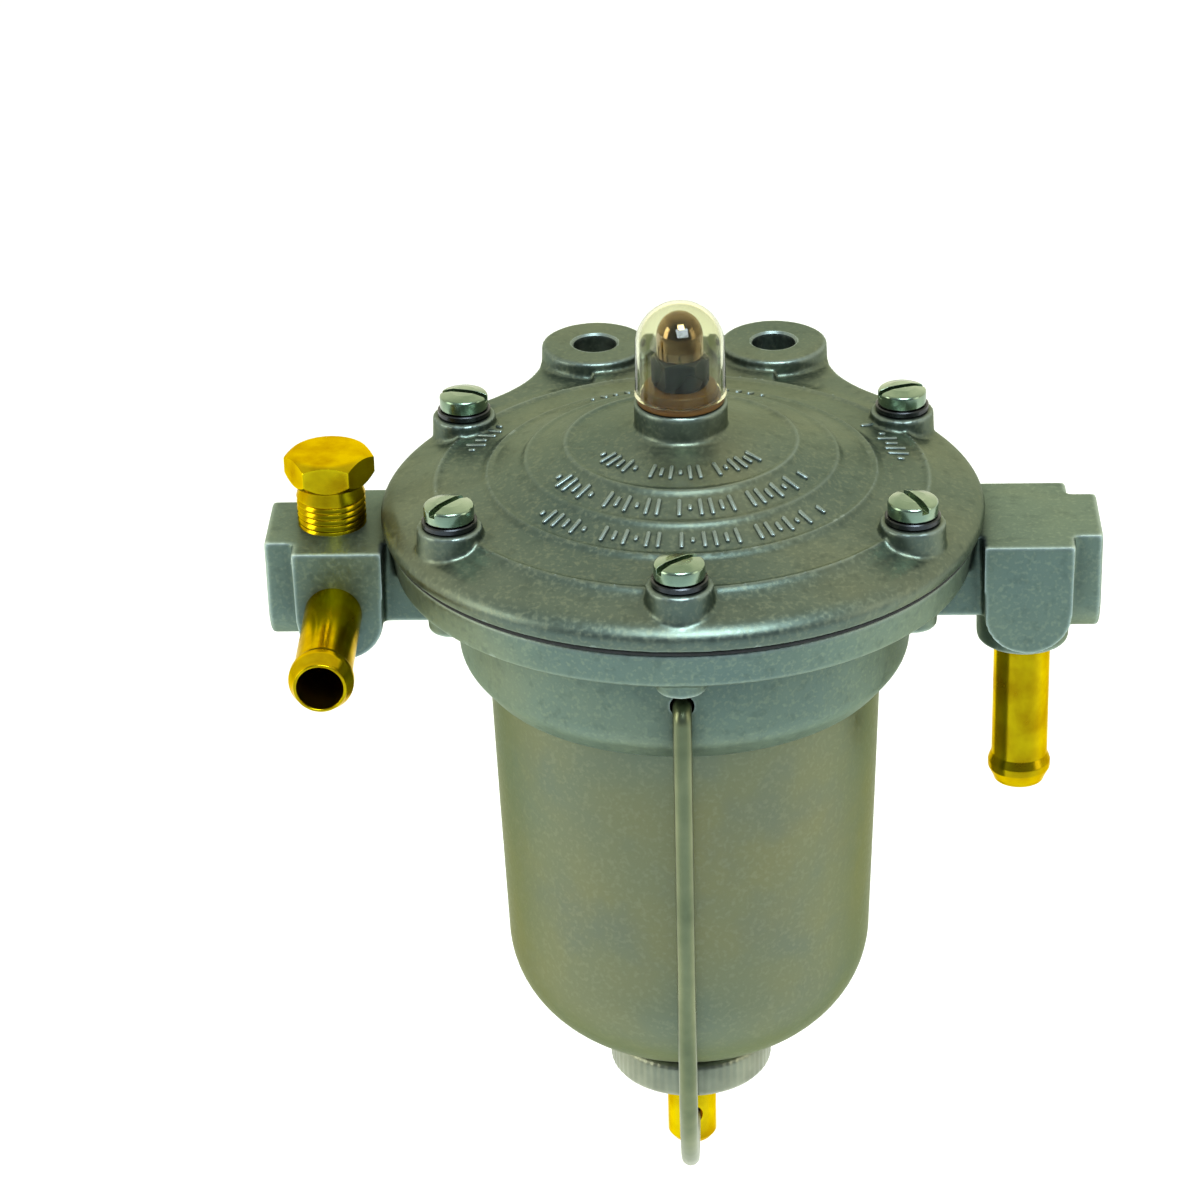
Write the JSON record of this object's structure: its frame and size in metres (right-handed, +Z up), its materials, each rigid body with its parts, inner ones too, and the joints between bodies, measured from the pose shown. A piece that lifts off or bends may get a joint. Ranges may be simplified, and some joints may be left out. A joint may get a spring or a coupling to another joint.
{
  "type": "fuel filter and pressure regulator",
  "caption": "Die-cast diaphragm pressure regulator over a metal filter bowl held by a wire bail, with brass hose unions, a screwed cover with two lugs and a clear-capped adjuster.",
  "frame": {"origin": "midway between the centres of the two mounting-lug holes, in the plane of the lugs' top pads", "axes": "+Z up along the filter's axis, +Y from the filter towards the lugs (the back), +X towards the inlet arm"},
  "size_m": [0.1168, 0.0955, 0.1365],
  "materials": {
    "cast_alloy": "die-cast zinc alloy with a yellow-green passivated skin, satin, brighter on worn rims",
    "bowl_metal": "drawn metal with the same passivated skin, satin",
    "brass": "bare turned brass, bright, a little tarnished",
    "zinc_bright": "bright zinc plate on turned steel",
    "spring_steel": "dark spring steel",
    "chrome": "polished chrome plate",
    "black_rubber": "matt black fuel-proof rubber",
    "brown_fibre": "brown fibre sealing material, slightly waxy",
    "clear_plastic": "clear plastic, faintly yellow, see-through",
    "filter_paper": "resin-treated folded paper",
    "nylon": "off-white moulded nylon"
  },
  "bodies": {
    "housing": {"top_cover": "cast_alloy", "main_body": "cast_alloy", "diaphragm": "black_rubber", "fibre_washer": "brown_fibre", "regulator_spring": "spring_steel", "valve_seat": "brass", "valve_spring": "spring_steel", "valve_retainer": "brass", "inlet_union": "brass", "outlet_union": "brass", "gauge_port_plug": "brass", "bowl_gasket": "black_rubber", "filter_top_cap": "nylon", "filter_paper": "filter_paper", "filter_core": "nylon", "filter_bottom_cap": "nylon", "filter_spring": "spring_steel", "cover_screw_1": "zinc_bright", "spring_washer_1": "spring_steel", "cover_screw_2": "zinc_bright", "spring_washer_2": "spring_steel", "cover_screw_3": "zinc_bright", "spring_washer_3": "spring_steel", "cover_screw_4": "zinc_bright", "spring_washer_4": "spring_steel", "cover_screw_5": "zinc_bright", "spring_washer_5": "spring_steel", "cover_screw_6": "zinc_bright", "spring_washer_6": "spring_steel"},
    "lock_nut": {"lock_nut": "chrome"},
    "adjuster_cap": {"adjuster_cap": "clear_plastic"},
    "spring_seat": {"upper_spring_seat": "zinc_bright"},
    "adjusting_screw": {"adjusting_screw": "zinc_bright"},
    "diaphragm_centre": {"diaphragm_upper_plate": "zinc_bright", "diaphragm_lower_plate": "zinc_bright", "diaphragm_rivet": "brass"},
    "valve": {"valve_poppet": "zinc_bright"},
    "bowl": {"bowl": "bowl_metal"},
    "bail": {"bail_wire": "zinc_bright", "clamp_stud": "brass"},
    "clamp_pad": {"clamp_pad": "black_rubber"},
    "clamp_nut": {"clamp_nut": "zinc_bright"}
  },
  "joints": [
    {"name": "adjuster_cap_lift", "type": "slide", "parent": "housing", "child": "adjuster_cap", "axis": [0, 0, 1], "range_m": [0, 0.03]},
    {"name": "lock_nut_turn", "type": "hinge", "parent": "housing", "child": "lock_nut", "pos_m": [0, -0.045, 0.0133], "axis": [0, 0, 1], "range_deg": [0, 180]},
    {"name": "spring_seat_slide", "type": "slide", "parent": "housing", "child": "spring_seat", "axis": [0, 0, 1], "range_m": [-0.001, 0.001], "deforming": ["regulator_spring"]},
    {"name": "adjusting_screw_turn", "type": "hinge", "parent": "spring_seat", "child": "adjusting_screw", "pos_m": [0, -0.045, 0.0131], "axis": [0, 0, 1], "range_deg": [-520, 520]},
    {"name": "diaphragm_lift", "type": "slide", "parent": "housing", "child": "diaphragm_centre", "axis": [0, 0, 1], "range_m": [-0.0005, 0.0005], "stiffness_N_per_m": 2000, "deforming": ["diaphragm"]},
    {"name": "valve_lift", "type": "slide", "parent": "housing", "child": "valve", "axis": [0, 0, 1], "range_m": [-0.0005, 0.0005], "deforming": ["valve_spring"]},
    {"name": "bowl_drop", "type": "slide", "parent": "housing", "child": "bowl", "axis": [0, 0, 1], "range_m": [-0.003, 0], "deforming": ["filter_spring"]},
    {"name": "bail_swing", "type": "hinge", "parent": "housing", "child": "bail", "pos_m": [0, -0.045, -0.0199], "axis": [0, 1, 0], "range_deg": [-75, 75]},
    {"name": "clamp_pad_slide", "type": "slide", "parent": "bail", "child": "clamp_pad", "axis": [0, 0, 1], "range_m": [-0.003, 0]},
    {"name": "clamp_nut_turn", "type": "hinge", "parent": "clamp_pad", "child": "clamp_nut", "pos_m": [0, -0.045, -0.0939], "axis": [0, 0, 1], "range_deg": [-1085, 0]}
  ],
  "couplings": [
    {"joint": "adjusting_screw_turn", "follows": "spring_seat_slide", "rad_per_m": 8976},
    {"joint": "valve_lift", "follows": "diaphragm_lift", "ratio": 1},
    {"joint": "clamp_pad_slide", "follows": "bowl_drop", "ratio": 1},
    {"joint": "clamp_nut_turn", "follows": "bowl_drop", "rad_per_m": 6283.2}
  ]
}
